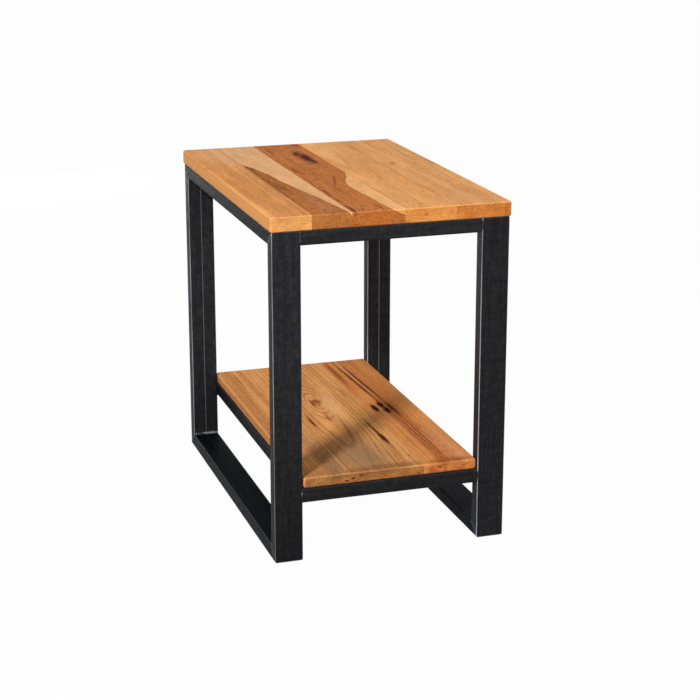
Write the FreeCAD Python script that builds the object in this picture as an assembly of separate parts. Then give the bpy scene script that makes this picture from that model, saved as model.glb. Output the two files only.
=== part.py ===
import FreeCAD, Part
import math
import os

# End table of black steel tube with a hickory top and shelf.
# Millimetres, +Z up, front towards -Y. The origin is on the floor, under the middle of the table.

# Steel frame: a closed loop of rectangular tube at each side, joined by cross rails
frame_width = 419.1         # outside of one loop to outside of the other, along X
frame_depth = 635.0         # front face to back face of a loop, along Y
frame_height = 577.85       # floor to the top of the loops
loop_tube_width = 50.8      # wide side of the loop tube, along X
loop_tube_thickness = 25.4  # narrow side, in the plane of the loop
rail_size = 25.4            # square tube of the cross rails and the shelf frame
tube_wall = 2.1
tube_corner_radius = 4.0    # outside corners of every tube; the inside ones stay square

# Hickory top, edge-glued from planks that run front to back
top_thickness = 25.4
top_overhang = 2.0          # past the frame on all four sides
top_corner_radius = 4.5     # upright corners, seen from above
top_edge_radius = 2.6       # sanded edges round the top and bottom
top_plank_shares = (0.167, 0.164, 0.218, 0.214, 0.237)

# Hickory shelf, let in between the legs
shelf_thickness = 19.0
shelf_rail_top = 129.0      # floor to the top of the shelf frame
shelf_side_gap = 1.5        # to the legs
shelf_front_setback = 1.5
shelf_back_setback = 8.0
shelf_corner_radius = 5.5
shelf_edge_radius = 4.0
shelf_plank_shares = (0.25, 0.44, 0.31)

# Weld beads
weld_leg = 4.5              # from the corner along each face
weld_crown = 0.7            # bulge over the straight line between the two toes
weld_end_margin = 2.0       # from a bead's end to the edge of the face that it lies on
groove_weld_recess = 0.4    # the dressed weld lies this far under the face
groove_fill_share = 0.7     # how much of the rounded groove between two tubes is filled

# Hex head wood screws: through the rail's upper wall into the wood, driven through a hole below
screw_shank_diameter = 4.2
screw_head_across_flats = 7.9
screw_head_height = 3.4
screw_tip_length = 4.0
top_screw_bite = 17.0       # length in the top
shelf_screw_bite = 12.0     # length in the shelf
pilot_clearance = 0.05      # all round the shank, in the wood
pilot_end_room = 1.0        # past the tip
shank_clearance = 0.5       # all round the shank, in the steel
slot_travel = 4.0           # lets the wood swell and shrink across the grain
access_clearance = 2.2      # all round the head, in the rail's lower wall
top_screws_per_side = 3
top_screw_end_distance = 95.0    # from the ends of a loop to the first screw
shelf_screws_per_side = 2
shelf_screw_end_distance = 90.0  # from the ends of a shelf side rail to the first screw

cut_overrun = 1.0
head_sides = 6

# Derived places
front_face = -frame_depth / 2
back_face = frame_depth / 2
leg_inner_face = frame_width / 2 - loop_tube_width   # distance from the middle, along X
loop_middle = frame_width / 2 - loop_tube_width / 2
side_rail_middle = leg_inner_face - rail_size / 2
cross_rail_length = 2 * leg_inner_face
shelf_side_rail_length = frame_depth - 2 * rail_size

X = FreeCAD.Vector(1, 0, 0)
Y = FreeCAD.Vector(0, 1, 0)
Z = FreeCAD.Vector(0, 0, 1)
SIDES = {"left": -1, "right": 1}
ENDS = {"front": -1, "back": 1}


def rounded_rectangle(width, height, radius):
    # a face centred on the origin, in the XY plane: a smaller rectangle grown by the radius
    corner = FreeCAD.Vector(radius - width / 2, radius - height / 2, 0)
    core = Part.makePlane(width - 2 * radius, height - 2 * radius, corner)
    return core.makeOffset2D(radius)


def straight_tube(width, thickness, length):
    # along +Z from the origin, width along X
    bore_width = width - 2 * tube_wall
    bore_thickness = thickness - 2 * tube_wall
    outside = rounded_rectangle(width, thickness, tube_corner_radius)
    bore = Part.makePlane(bore_width, bore_thickness, FreeCAD.Vector(-bore_width / 2, -bore_thickness / 2, 0))
    return outside.extrude(Z * length).cut(bore.extrude(Z * length))


def mitred_tube(length):
    # one side of a loop: the long face looks to -Y, both ends are cut at 45 degrees
    half = loop_tube_thickness / 2
    reach = half + cut_overrun
    corners = [
        FreeCAD.Vector(0, -reach, -cut_overrun),
        FreeCAD.Vector(0, -reach, length + cut_overrun),
        FreeCAD.Vector(0, reach, length - loop_tube_thickness - cut_overrun),
        FreeCAD.Vector(0, reach, loop_tube_thickness + cut_overrun),
    ]
    outline = Part.Face(Part.makePolygon(corners + corners[:1]))
    keep = outline.extrude(X * (loop_tube_width + 2 * cut_overrun))
    keep.translate(X * (-loop_tube_width / 2 - cut_overrun))
    blank = straight_tube(loop_tube_width, loop_tube_thickness, length + 2 * cut_overrun)
    blank.translate(Z * -cut_overrun)
    return blank.common(keep)


def placed(shape, position, axis, angle):
    copy = shape.copy()
    copy.Placement = FreeCAD.Placement(position, FreeCAD.Rotation(axis, angle))
    return copy


def loop_members(side):
    # the four mitred tubes of the loop at one side of the table
    x = side * loop_middle
    half = loop_tube_thickness / 2
    upright = mitred_tube(frame_height)
    level = mitred_tube(frame_depth)
    return {
        "front_leg": placed(upright, FreeCAD.Vector(x, front_face + half, 0), Z, 0),
        "back_leg": placed(upright, FreeCAD.Vector(x, back_face - half, 0), Z, 180),
        "top_rail": placed(level, FreeCAD.Vector(x, front_face, frame_height - half), X, -90),
        "runner": placed(level, FreeCAD.Vector(x, back_face, half), X, 90),
    }


def cross_rail(end, top):
    # between the loops, flush with the outer faces of the legs
    y = end * (frame_depth - rail_size) / 2
    tube = straight_tube(rail_size, rail_size, cross_rail_length)
    return placed(tube, FreeCAD.Vector(-leg_inner_face, y, top - rail_size / 2), Y, 90)


def shelf_side_rail(side):
    # between the front and back shelf rails, flush with the inner faces of the legs
    tube = straight_tube(rail_size, rail_size, shelf_side_rail_length)
    start = FreeCAD.Vector(side * side_rail_middle, front_face + rail_size, shelf_rail_top - rail_size / 2)
    return placed(tube, start, X, -90)


def screw_spots(side, x, run, end_distance, count):
    # evenly along the side rail, the same distance from both of its ends
    spacing = (run - 2 * end_distance) / (count - 1)
    return [(side * x, end_distance - run / 2 + index * spacing) for index in range(count)]


def top_screw_spots(side):
    return screw_spots(side, loop_middle, frame_depth, top_screw_end_distance, top_screws_per_side)


def shelf_screw_spots(side):
    run = shelf_side_rail_length
    return screw_spots(side, side_rail_middle, run, shelf_screw_end_distance, shelf_screws_per_side)


def slot_cutter(x, y, bottom, height):
    # a hole for the shank, drawn out along X so that the wood can move
    radius = screw_shank_diameter / 2 + shank_clearance
    near = FreeCAD.Vector(x - slot_travel / 2, y - radius, bottom)
    middle = Part.makeBox(slot_travel, 2 * radius, height, near)
    ends = [near + Y * radius, near + Y * radius + X * slot_travel]
    return middle.fuse([Part.makeCylinder(radius, height, end) for end in ends]).removeSplitter()


def drilled(rail, spots, top, depth):
    # a screw slot in the upper wall and an access hole in the lower wall, at each spot
    access_radius = screw_head_across_flats / 2 + access_clearance
    height = tube_wall + 2 * cut_overrun
    cutters = []
    for x, y in spots:
        cutters.append(slot_cutter(x, y, top - tube_wall - cut_overrun, height))
        below = FreeCAD.Vector(x, y, top - depth - cut_overrun)
        cutters.append(Part.makeCylinder(access_radius, height, below))
    return rail.cut(cutters)


def wood_screw(bite):
    # head down, its seat at z = 0 and its point up
    shank_radius = screw_shank_diameter / 2
    tip = tube_wall + bite
    profile = Part.makePolygon([
        FreeCAD.Vector(0, 0, 0),
        FreeCAD.Vector(shank_radius, 0, 0),
        FreeCAD.Vector(shank_radius, 0, tip - screw_tip_length),
        FreeCAD.Vector(0, 0, tip),
        FreeCAD.Vector(0, 0, 0),
    ])
    shank = Part.Face(profile).revolve(FreeCAD.Vector(0, 0, 0), Z, 360)
    corner = X * (screw_head_across_flats / math.sqrt(3))
    turns = [FreeCAD.Rotation(Z, index * 360 / head_sides) for index in range(head_sides + 1)]
    hexagon = Part.Face(Part.makePolygon([turn.multVec(corner) for turn in turns]))
    return shank.fuse(hexagon.extrude(Z * -screw_head_height))


def screws(spots_at, top, bite):
    # the heads bear on the inside of the rails' upper walls
    pattern = wood_screw(bite)
    spots = [spot for side in SIDES.values() for spot in spots_at(side)]
    return Part.makeCompound([placed(pattern, FreeCAD.Vector(x, y, top - tube_wall), Z, 0) for x, y in spots])


def eased_slab(width, depth, thickness, corner_radius, edge_radius):
    # centred on X, from y = 0 and z = 0, upright corners rounded first and then the long edges
    block = Part.makeBox(width, depth, thickness, FreeCAD.Vector(-width / 2, 0, 0))
    upright = [edge for edge in block.Edges if abs(edge.tangentAt(edge.FirstParameter).dot(Z)) > 0.5]
    block = block.makeFillet(corner_radius, upright)
    faces = [face for face in block.Faces if abs(face.normalAt(0, 0).dot(Z)) > 0.5]
    return block.makeFillet(edge_radius, [edge for face in faces for edge in face.Edges])


def pilot_holes(spots_at, bottom, bite):
    spots = [spot for side in SIDES.values() for spot in spots_at(side)]
    radius = screw_shank_diameter / 2 + pilot_clearance
    depth = bite + pilot_end_room + cut_overrun
    return [Part.makeCylinder(radius, depth, FreeCAD.Vector(x, y, bottom - cut_overrun)) for x, y in spots]


def planks(slab, shares):
    # saws the slab into its edge-glued planks, left to right
    box = slab.BoundBox
    pieces = []
    left = box.XMin
    for index, share in enumerate(shares):
        width = box.XLength * share
        first = index == 0
        last = index == len(shares) - 1
        low = left - (cut_overrun if first else 0)
        high = box.XMax + cut_overrun if last else left + width
        corner = FreeCAD.Vector(low, box.YMin - cut_overrun, box.ZMin - cut_overrun)
        depth = box.YLength + 2 * cut_overrun
        height = box.ZLength + 2 * cut_overrun
        pieces.append(slab.common(Part.makeBox(high - low, depth, height, corner)))
        left = left + width
    return pieces


def top_planks():
    width = frame_width + 2 * top_overhang
    depth = frame_depth + 2 * top_overhang
    slab = eased_slab(width, depth, top_thickness, top_corner_radius, top_edge_radius)
    slab.translate(FreeCAD.Vector(0, front_face - top_overhang, frame_height))
    slab = slab.cut(pilot_holes(top_screw_spots, frame_height, top_screw_bite))
    return planks(slab, top_plank_shares)


def shelf_planks():
    width = cross_rail_length - 2 * shelf_side_gap
    depth = frame_depth - shelf_front_setback - shelf_back_setback
    slab = eased_slab(width, depth, shelf_thickness, shelf_corner_radius, shelf_edge_radius)
    slab.translate(FreeCAD.Vector(0, front_face + shelf_front_setback, shelf_rail_top))
    slab = slab.cut(pilot_holes(shelf_screw_spots, shelf_rail_top, shelf_screw_bite))
    return planks(slab, shelf_plank_shares)


def fillet_bead(corner, along, length, face_a, face_b):
    # a bead in the corner of two faces: face_a and face_b point from the corner along each face
    start = corner - along * (length / 2)
    toe_a = start + face_a * weld_leg
    toe_b = start + face_b * weld_leg
    outward = (face_a + face_b).normalize()
    crest = (toe_a + toe_b) / 2 + outward * weld_crown
    edges = [
        Part.makeLine(start, toe_a),
        Part.Arc(toe_a, crest, toe_b).toShape(),
        Part.makeLine(toe_b, start),
    ]
    return Part.Face(Part.Wire(edges)).extrude(along * length)


def loop_welds(side):
    # one bead across the tube in each inner corner of a loop
    beads = []
    for end in ENDS.values():
        y = end * (frame_depth / 2 - loop_tube_thickness)
        for z, inward in ((loop_tube_thickness, Z), (frame_height - loop_tube_thickness, -Z)):
            corner = FreeCAD.Vector(side * loop_middle, y, z)
            beads.append(fillet_bead(corner, X, loop_tube_width - 2 * weld_end_margin, Y * -end, inward))
    return Part.makeCompound(beads)


def groove_weld(side, end, top):
    # fills the rounded groove between a leg's edge and the end of a cross rail, dressed nearly flush
    fill = tube_corner_radius * groove_fill_share
    length = rail_size - 2 * tube_corner_radius
    bottom = top - rail_size / 2 - length / 2
    size = fill - groove_weld_recess
    x = leg_inner_face if side > 0 else -leg_inner_face - fill
    y = front_face + groove_weld_recess if end < 0 else back_face - groove_weld_recess - size
    block = Part.makeBox(fill, size, length, FreeCAD.Vector(x, y, bottom))
    edge_x = side * (leg_inner_face + tube_corner_radius)
    edge_y = end * (frame_depth / 2 - tube_corner_radius)
    start = FreeCAD.Vector(edge_x, edge_y, bottom - cut_overrun)
    return block.cut(Part.makeCylinder(tube_corner_radius, length + 2 * cut_overrun, start))


def upright_weld(side, end, distance, top):
    # upright, in the inner corner behind a cross rail, this distance from the middle
    corner = FreeCAD.Vector(side * distance, end * (frame_depth / 2 - rail_size), top - rail_size / 2)
    return fillet_bead(corner, Z, rail_size - 2 * tube_corner_radius, X * -side, Y * -end)


def rail_welds(top, distance):
    # the beads at both ends of the front and the back rail at one height
    beads = []
    for side in SIDES.values():
        for end in ENDS.values():
            beads.append(groove_weld(side, end, top))
            beads.append(upright_weld(side, end, distance, top))
    return Part.makeCompound(beads)


def steel_frame():
    nodes = {}
    for name, side in SIDES.items():
        for member, shape in loop_members(side).items():
            nodes[f"{name}_{member}"] = shape
        rail = nodes[f"{name}_top_rail"]
        nodes[f"{name}_top_rail"] = drilled(rail, top_screw_spots(side), frame_height, loop_tube_thickness)
        rail = shelf_side_rail(side)
        nodes[f"shelf_{name}_rail"] = drilled(rail, shelf_screw_spots(side), shelf_rail_top, rail_size)
        nodes[f"{name}_loop_welds"] = loop_welds(side)
    for name, end in ENDS.items():
        nodes[f"{name}_top_rail"] = cross_rail(end, frame_height)
        nodes[f"shelf_{name}_rail"] = cross_rail(end, shelf_rail_top)
    nodes["top_rail_welds"] = rail_welds(frame_height, leg_inner_face)
    nodes["shelf_frame_welds"] = rail_welds(shelf_rail_top, leg_inner_face - rail_size)
    return nodes


def wood():
    nodes = {}
    for index, plank in enumerate(top_planks(), start=1):
        nodes[f"top_plank_{index}"] = plank
    for index, plank in enumerate(shelf_planks(), start=1):
        nodes[f"shelf_plank_{index}"] = plank
    return nodes


def fasteners():
    return {
        "top_screws": screws(top_screw_spots, frame_height, top_screw_bite),
        "shelf_screws": screws(shelf_screw_spots, shelf_rail_top, shelf_screw_bite),
    }


os.makedirs("parts", exist_ok=True)
for node, shape in {**steel_frame(), **wood(), **fasteners()}.items():
    if not shape.isValid():
        raise ValueError(f"{node} is not a valid shape")
    print(node, len(shape.Solids), "solids", round(shape.Volume), "mm3")
    shape.exportStep(f"parts/{node}.step")
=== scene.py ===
import bpy
import bmesh
import math
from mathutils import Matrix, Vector


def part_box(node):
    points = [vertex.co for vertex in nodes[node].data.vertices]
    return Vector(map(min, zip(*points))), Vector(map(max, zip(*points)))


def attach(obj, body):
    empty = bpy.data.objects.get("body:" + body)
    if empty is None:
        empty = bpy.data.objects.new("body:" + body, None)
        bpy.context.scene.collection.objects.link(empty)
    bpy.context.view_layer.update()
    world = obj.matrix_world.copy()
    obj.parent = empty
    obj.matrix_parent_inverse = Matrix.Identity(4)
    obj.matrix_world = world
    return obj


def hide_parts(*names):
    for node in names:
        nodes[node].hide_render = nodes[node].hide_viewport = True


# End table of black steel tube with a hickory top and shelf.
# Sizes are in millimetres, and mm turns them to metres. The front looks to -Y.

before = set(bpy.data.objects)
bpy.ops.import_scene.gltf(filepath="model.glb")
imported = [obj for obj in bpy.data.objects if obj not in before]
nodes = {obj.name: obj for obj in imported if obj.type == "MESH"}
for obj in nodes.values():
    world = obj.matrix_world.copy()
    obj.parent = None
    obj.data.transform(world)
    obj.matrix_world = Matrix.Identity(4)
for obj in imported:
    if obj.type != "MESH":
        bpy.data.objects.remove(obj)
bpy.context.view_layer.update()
scene = bpy.context.scene
mm = 0.001


def srgb(text):
    # "#c89a6a" to the linear colour that a socket takes
    shares = [int(text[i:i + 2], 16) / 255 for i in (1, 3, 5)]
    return (*[s / 12.92 if s <= 0.04045 else ((s + 0.055) / 1.055) ** 2.4 for s in shares], 1)


smooth = {"interpolation_type": "SMOOTHSTEP"}
blending = {"data_type": "RGBA"}
darkening = {"data_type": "RGBA", "blend_type": "MULTIPLY"}


def adder(tree):
    # gives the function that adds a node to this tree
    def add(kind, settings={}, inputs=()):
        # kind is a node's type without the name of its family. A lone word as settings is the operation.
        # Each input is a value, a node or one of its outputs, by place or by name: a Map Range takes its
        # value, the range from and the range to.
        families = (family + kind for family in ("ShaderNode", "GeometryNode", ""))
        node = tree.nodes.new(next(word for word in families if hasattr(bpy.types, word)))
        settings = {"operation": settings} if isinstance(settings, str) else settings
        for key, value in settings.items():
            if key == "curve":
                points = node.mapping.curves[0].points
                for along, height in value[1:-1]:
                    points.new(along, height)
                points[0].location, points[-1].location = value[0], value[-1]
                for point in points:
                    point.handle_type = "VECTOR"
                node.mapping.update()
            else:
                setattr(node, key, value)
        shown = [socket for socket in node.inputs if socket.enabled]
        named = {socket.name: socket for socket in reversed(shown)}
        for key, value in inputs.items() if isinstance(inputs, dict) else enumerate(inputs):
            socket = named[key] if isinstance(key, str) else shown[key]
            if isinstance(value, bpy.types.Node):
                value = next(out for out in value.outputs if out.enabled)
            if isinstance(value, bpy.types.NodeSocket):
                tree.links.new(value, socket)
            else:
                socket.default_value = value
        return node
    return add


def newMaterial(name):
    material = bpy.data.materials.new(name)
    material.use_nodes = True
    material.node_tree.nodes.clear()
    return material, adder(material.node_tree)


def finished(add, colour, rough, gloss, relief, height):
    # the surface itself: relief gives how strong its bumps are and how high
    strength, depth = relief
    bumps = add("Bump", {}, {"Strength": strength, "Distance": depth * mm, "Height": height})
    skin = add("BsdfPrincipled", {}, {
        "Base Color": colour, "Roughness": rough, "Specular IOR Level": gloss, "Normal": bumps})
    add("OutputMaterial", {}, {"Surface": skin})


# Hickory boards. x is from the middle of the table, y from the board's front end, z from its upper face.
# heartEdge: points (y, x) of the line between sapwood and heartwood, and slope, how it leans with depth.
# ring: width of a growth ring, and stripe, how dark its line is. pith: x and z of the middle of the tree.
# A mark is a knot, a streak or a patch of tone, and a few on the shelf are painted shade: x, y, half its
# width and length, how strongly it tints the wood, the tint, how soft its edge is, and what differs from
# grain["mark"]. lift bends the growth rings round it.
boards = {}
boards["top_plank_1"] = {
    "sap": "#d9985c", "heart": "#b47842", "heartShare": (0.0, 0.5), "end": "#fffff9", "ring": 3.6,
    "stripe": 0.09, "pith": (-120, -70), "lean": (0.6, -0.9), "seed": 11,
    "marks": [
        (-200, 240, 10, 150, 0.4, "#b07339", 0.9),
        (-150, 330, 3, 260, 0.45, "#e4b07e", 0.9),
        (-165, 320, 2, 70, 0.35, "#9d6239", 0.8),
        (-176, 110, 9, 90, 0.3, "#c5874a", 0.9),
        (-186, 560, 34, 130, 0.8, "#dba271", 0.95),
        (-154, 560, 20, 170, 0.7, "#dcae80", 0.95),
        (-158, 0, 32, 5, 0.4, "#e8ab63", 0.6, {"z": -13, "depth": 20}),
        # paler tone on the left side face, which also paints the highlight along its upper edge
        (-212, 320, 3, 900, 0.7, "#e4a262", 0.5, {"z": -13, "depth": 30}),
    ],
}
boards["top_plank_2"] = {
    "sap": "#dca979", "heart": "#ad6d3d", "end": "#fffff0", "ring": 3.0, "stripe": 0.16,
    "pith": (-185, -46), "lean": (1.2, 3.4), "seed": 23, "slope": -0.6,
    "heartEdge": [
        (0, -76), (32, -79), (64, -83), (96, -88), (128, -90.5), (160, -96), (193, -101), (225, -105.6),
        (257, -109), (289, -114), (321, -116), (353, -117), (364, -121), (417, -129), (449, -139),
        (470, -146), (639, -150),
    ],
    "marks": [
        (-104, 110, 14, 130, 0.45, "#b5815b", 0.9),
        (-138, 250, 9, 190, 0.65, "#7c4b29", 0.9),
        (-140, 400, 11, 80, 0.6, "#7a5431", 0.9, {"turn": 6}),
        (-126, 228, 9, 70, 0.7, "#764423", 0.9, {"turn": 3}),
        (-117, 280, 2.8, 120, 0.55, "#7e4c2a", 0.8, {"turn": 7}),
        (-107, 150, 2.6, 80, 0.45, "#865534", 0.8, {"turn": 9}),
        (-134, 410, 6, 40, 0.55, "#7e4f2d", 0.9, {"turn": 8}),
        (-112, 585, 16, 40, 0.4, "#c0a579", 0.9),
        (-126, 520, 3, 50, 0.25, "#bc8a5e", 0.9),
    ],
}
boards["top_plank_3"] = {
    "sap": "#e2aa71", "heart": "#bc7643", "end": "#f5e9cc", "ring": 3.6, "stripe": 0.3,
    "pith": (-70, -40), "lean": (0.8, 1.6), "seed": 31, "slope": -2.0,
    "heartEdge": [
        (0, -1), (50, -4), (110, -7), (170, -10), (200, -11), (230, -9), (262, 0), (289, 11), (321, 18),
        (340, 24), (370, 27), (639, 27),
    ],
    "marks": [
        (-8, 500, 19, 120, 0.5, "#a34f2b", 0.95),
        (-50, 580, 20, 90, 0.35, "#a36647", 0.95),
        (-24, 70, 22, 130, 0.35, "#c57937", 0.95),
        (-8, 492, 18, 80, 0.6, "#6f3c2a", 0.85, {"lift": 8}),
        (-6, 486, 11, 46, 0.88, "#331d28", 0.65, {"turn": -2, "lift": 5}),
        (-3, 450, 8, 32, 0.75, "#45262a", 0.7, {"turn": 3}),
        (-14, 530, 8, 28, 0.85, "#45262a", 0.7, {"turn": -10}),
        (-20, 262, 3.4, 66, 0.6, "#7c4220", 0.8, {"turn": -15}),
        (-69, 300, 3, 320, 0.5, "#8d4f29", 0.8),
        (-66, 24, 5, 44, 0.75, "#4d2517", 0.8),
        (-66, 96, 3.8, 36, 0.55, "#6a3519", 0.8),
        (-65, 164, 4.4, 40, 0.65, "#5e2d19", 0.8),
        (-61, 376, 5, 38, 0.65, "#5f2d16", 0.8),
        (-56, 340, 6, 24, 0.4, "#7c4629", 0.8),
        (-55, 575, 4.6, 52, 0.5, "#703e22", 0.8),
        (-15, 26, 4, 40, 0.6, "#6c361d", 0.8),
        (-44, 480, 3, 70, 0.45, "#7c4629", 0.8),
        (-36, 150, 2.6, 90, 0.35, "#814925", 0.8, {"turn": 2}),
        (-3, 588, 17, 26, 0.45, "#9f7b3d", 0.9),
        (10, 624, 15, 34, 0.65, "#a53a22", 0.9),
    ],
}
boards["top_plank_4"] = {
    "sap": "#dfa265", "heart": "#c98c55", "end": "#fae7c6", "ring": 3.8,
    "stripe": 0.08, "pith": (40, -80), "lean": (-0.4, 0.8), "seed": 47,
    "marks": [
        (21, 0, 16, 40, 0.8, "#b36632", 0.8, {"z": -25, "depth": 6}),
        (58, 1, 5, 5, 0.6, "#8d4f2b", 0.7, {"z": -11, "depth": 4}),
        (70, 330, 11, 210, 0.35, "#d39052", 0.9),
        (106, 600, 4, 90, 0.4, "#ae723d", 0.9),
        (40, 470, 12, 120, 0.3, "#e6b27a", 0.9),
        (30, 60, 2, 50, 0.3, "#bb8147", 0.8),
        (108.5, 320, 1.8, 340, 0.45, "#b0743f", 0.6),
        (62, 560, 50, 130, 0.6, "#e6ae78", 0.95),
    ],
}
boards["top_plank_5"] = {
    "sap": "#dea36a", "heart": "#c68b50", "end": "#e3c39a", "ring": 4.2,
    "stripe": 0.1, "pith": (205, -42), "lean": (0.5, -1.0), "seed": 59,
    "marks": [
        (133, 386, 5, 14, 0.6, "#7f512b", 0.7, {"lift": 3}),
        (153, 570, 3, 100, 0.45, "#a56837", 0.8),
        (113, 140, 5, 90, 0.45, "#a36838", 0.9),
        (113, 560, 3, 90, 0.4, "#ab6e38", 0.9),
        (173, 425, 9, 60, 0.35, "#d69479", 0.9),
        (192, 110, 8, 70, 0.4, "#d48739", 0.9),
        (152, 110, 28, 100, 0.35, "#d49470", 0.9),
        (201, 0, 5, 14, 0.5, "#b4622e", 0.8, {"z": -12, "depth": 14}),
        (188, 0, 5, 8, 0.4, "#c9a05c", 0.8, {"z": -12, "depth": 12}),
        (192, 480, 6, 60, 0.3, "#e0b872", 0.9),
    ],
}
boards["shelf_plank_1"] = {
    "sap": "#db9d60", "heart": "#af6c3a", "heartShare": (0.0, 0.5), "end": "#c6c2ba", "ring": 5.2,
    "stripe": 0.62, "arrisHighlight": 0.06, "pith": (40, -60), "lean": (0.2, 0.6), "seed": 67,
    "marks": [
        (-128, 560, 4, 70, 0.5, "#8d4f29", 0.8),
        # greyer tone over the front of the plank, darkened further as painted shade
        (-88, 60, 40, 190, 0.72, "#7c6249", 0.95),
        # painted shadow at the front-left corner of the shelf
        (-128, 14, 44, 40, 0.62, "#8f6238", 0.8, {"depth": 4}),
        (-80, 1, 5, 5, 0.9, "#6c2214", 0.7, {"z": -13.5, "depth": 2.6}),
        (-90, 1, 8, 5, 0.7, "#a5402a", 0.8, {"z": -16, "depth": 2}),
    ],
}
boards["shelf_plank_2"] = {
    "sap": "#d69a5d", "heart": "#b5723f", "end": "#cbbfb2", "ring": 5.6,
    "stripe": 0.52, "arrisHighlight": 0.06, "pith": (-30, -56), "lean": (0.6, 0), "seed": 71,
    "marks": [
        (-18, 378, 15, 50, 0, None, 0, {"lift": -20}),
        (-6, 385, 46, 170, 0, None, 0, {"lift": -12}),
        # greyer tone over the front of the plank, darkened further as painted shade
        (-30, 70, 70, 160, 0.76, "#836b52", 0.95),
        (0, 345, 24, 110, 0.7, "#e6b27c", 0.9),
        (20, 480, 12, 120, 0.35, "#e1ab72", 0.9),
        (-18, 384, 12, 22, 0.75, "#823719", 0.85),
        (-22, 412, 8, 18, 0.5, "#e1ad79", 0.9),
        (-29, 376, 3.6, 28, 0.8, "#432210", 0.75),
        (-25, 290, 4.2, 28, 0.6, "#7e4320", 0.8),
        (-61, 272, 3.4, 50, 0.9, "#551f0c", 0.8),
        (36, 190, 3.6, 96, 0.92, "#48190c", 0.8),
        (37, 150, 6, 34, 0.97, "#2b0f07", 0.7),
        (34, 60, 3, 60, 0.4, "#864a25", 0.8),
        (46, 425, 3.6, 44, 0.55, "#895525", 0.8),
        (-70, 100, 5, 50, 0.4, "#704f40", 0.9),
        (0, 9, 90, 20, 0.75, "#8c5a38", 0.7, {"depth": 4}),
        (38, 104, 1.6, 70, 0.6, "#7a3e20", 0.6, {"turn": 1}),
        (22, 130, 1.8, 70, 0.4, "#c9a578", 0.7, {"turn": 2}),
        (52, 110, 1.6, 80, 0.45, "#cfa67c", 0.7, {"turn": 1}),
        (2, 90, 2, 60, 0.35, "#c4a074", 0.7, {"turn": 3}),
        (-80, 1, 5, 5, 0.9, "#6c2214", 0.7, {"z": -13.5, "depth": 2.6}),
        (-69, 1, 5, 5, 0.9, "#5c1c10", 0.7, {"z": -10, "depth": 3}),
        (-54, 1, 5.5, 5, 0.85, "#6c2814", 0.7, {"z": -6.3, "depth": 3}),
        (50, 1, 5, 5, 0.8, "#6c2c12", 0.7, {"z": -14, "depth": 2.8}),
        (-62, 6, 30, 14, 0.45, "#84522e", 0.8, {"depth": 4}),
        (40, 0, 26, 5, 0.5, "#e0a064", 0.9, {"z": -9, "depth": 14}),
    ],
}
boards["shelf_plank_3"] = {
    "sap": "#d89253", "heart": "#a95e30", "heartShare": (0.1, 0.8), "end": "#f8f0e8", "ring": 5.4,
    "stripe": 0.22, "pith": (190, -48), "lean": (0.3, 0.8), "seed": 83,
    "marks": [
        (72, 500, 18, 190, 0.3, "#a95b2d", 0.9),
        (132, 80, 26, 150, 0.6, "#d29468", 0.9),
        (92, 160, 16, 150, 0.45, "#c07a4e", 0.9),
        (128, 430, 26, 150, 0.5, "#b0693a", 0.9),
        (76, 312, 7, 28, 0.98, "#2b0f07", 0.6, {"lift": 6}),
        (92, 330, 7, 24, 0.98, "#240d06", 0.6, {"lift": 6}),
        (94, 296, 7, 22, 0.98, "#240d06", 0.6, {"lift": 4}),
        (107, 306, 6, 44, 0.85, "#43200f", 0.7, {"turn": 2, "lift": 4}),
        (90, 480, 5.5, 190, 0.85, "#4d2714", 0.85, {"turn": 2}),
        (101, 470, 4.6, 185, 0.8, "#4d2714", 0.85, {"turn": 2.2}),
        (96, 470, 2.4, 165, 0.5, "#e0a982", 0.8, {"turn": 2.1}),
        (71, 537, 7, 90, 0.6, "#7a401d", 0.85),
        (109, 150, 1.5, 180, 0.75, "#6a2f18", 0.5, {"turn": 0.5}),
        (105.5, 160, 1.8, 150, 0.4, "#d29474", 0.7, {"turn": 0.5}),
        (102, 150, 1.4, 150, 0.65, "#6a2f18", 0.5, {"turn": 1.2}),
        (96, 110, 1.4, 90, 0.5, "#7f4324", 0.6, {"turn": 1.6}),
        (79, 145, 1.8, 170, 0.4, "#8d3e1b", 0.7),
        (110, 8, 60, 18, 0.62, "#98552f", 0.7, {"depth": 4}),
        (88, 1, 5.5, 5, 0.8, "#7a2c14", 0.7, {"z": -7.5, "depth": 2.4}),
        (140, 1, 7, 5, 0.6, "#8a3517", 0.8, {"z": -7, "depth": 2.4}),
        (148, 1, 11, 5, 0.4, "#b4602e", 0.8, {"z": -11, "depth": 12}),
        (116, 0, 20, 5, 0.45, "#dc8c50", 0.9, {"z": -10, "depth": 12}),
    ],
}
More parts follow.
